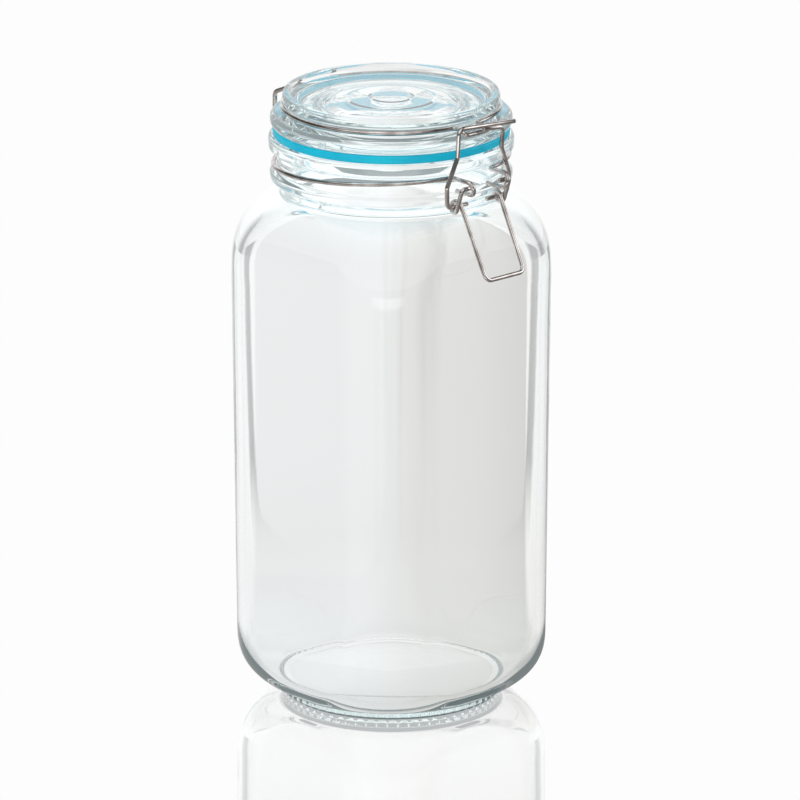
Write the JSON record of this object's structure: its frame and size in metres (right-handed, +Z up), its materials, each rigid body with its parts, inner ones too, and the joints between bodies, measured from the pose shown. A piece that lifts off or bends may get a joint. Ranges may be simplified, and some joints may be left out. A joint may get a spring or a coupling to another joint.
{
  "type": "clip top storage jar",
  "caption": "Square-bodied glass storage jar with a hinged glass lid, a rubber sealing ring and a bent-wire clasp, shut and empty.",
  "frame": {"origin": "on the floor plane, under the middle of the whole object's bounding box; the jar's own axis is 4.2 mm behind it, towards +Y", "axes": "+Z up along the jar's axis, -Y towards the clasp, +Y towards the lid's hinge, X across, along the hinge and the clasp's pins"},
  "size_m": [0.1066, 0.1267, 0.2512],
  "materials": {
    "clear_glass": "clear pressed soda-lime glass, faintly blue-green where it is thick",
    "teal_rubber": "translucent blue-teal silicone rubber, satin",
    "steel_wire": "polished stainless steel wire"
  },
  "bodies": {
    "jar": {"jar_glass": "clear_glass", "neck_wire": "steel_wire"},
    "lid": {"lid_glass": "clear_glass", "seal": "teal_rubber", "lid_wire": "steel_wire"},
    "lever": {"lever": "steel_wire"},
    "link": {"link": "steel_wire"}
  },
  "joints": [
    {"name": "lid_hinge", "type": "hinge", "parent": "jar", "child": "lid", "pos_m": [0, 0.06017, 0.2206], "axis": [-1, 0, 0], "range_deg": [0, 185]},
    {"name": "lever_pivot", "type": "hinge", "parent": "jar", "child": "lever", "pos_m": [0, -0.05103, 0.2238], "axis": [-1, 0, 0], "range_deg": [0, 130]},
    {"name": "link_pivot", "type": "hinge", "parent": "lever", "child": "link", "pos_m": [0, -0.04582, 0.2156], "axis": [-1, 0, 0], "range_deg": [-130, 0]}
  ],
  "couplings": [
    {"joint": "link_pivot", "follows": "lever_pivot", "ratio": -1}
  ]
}
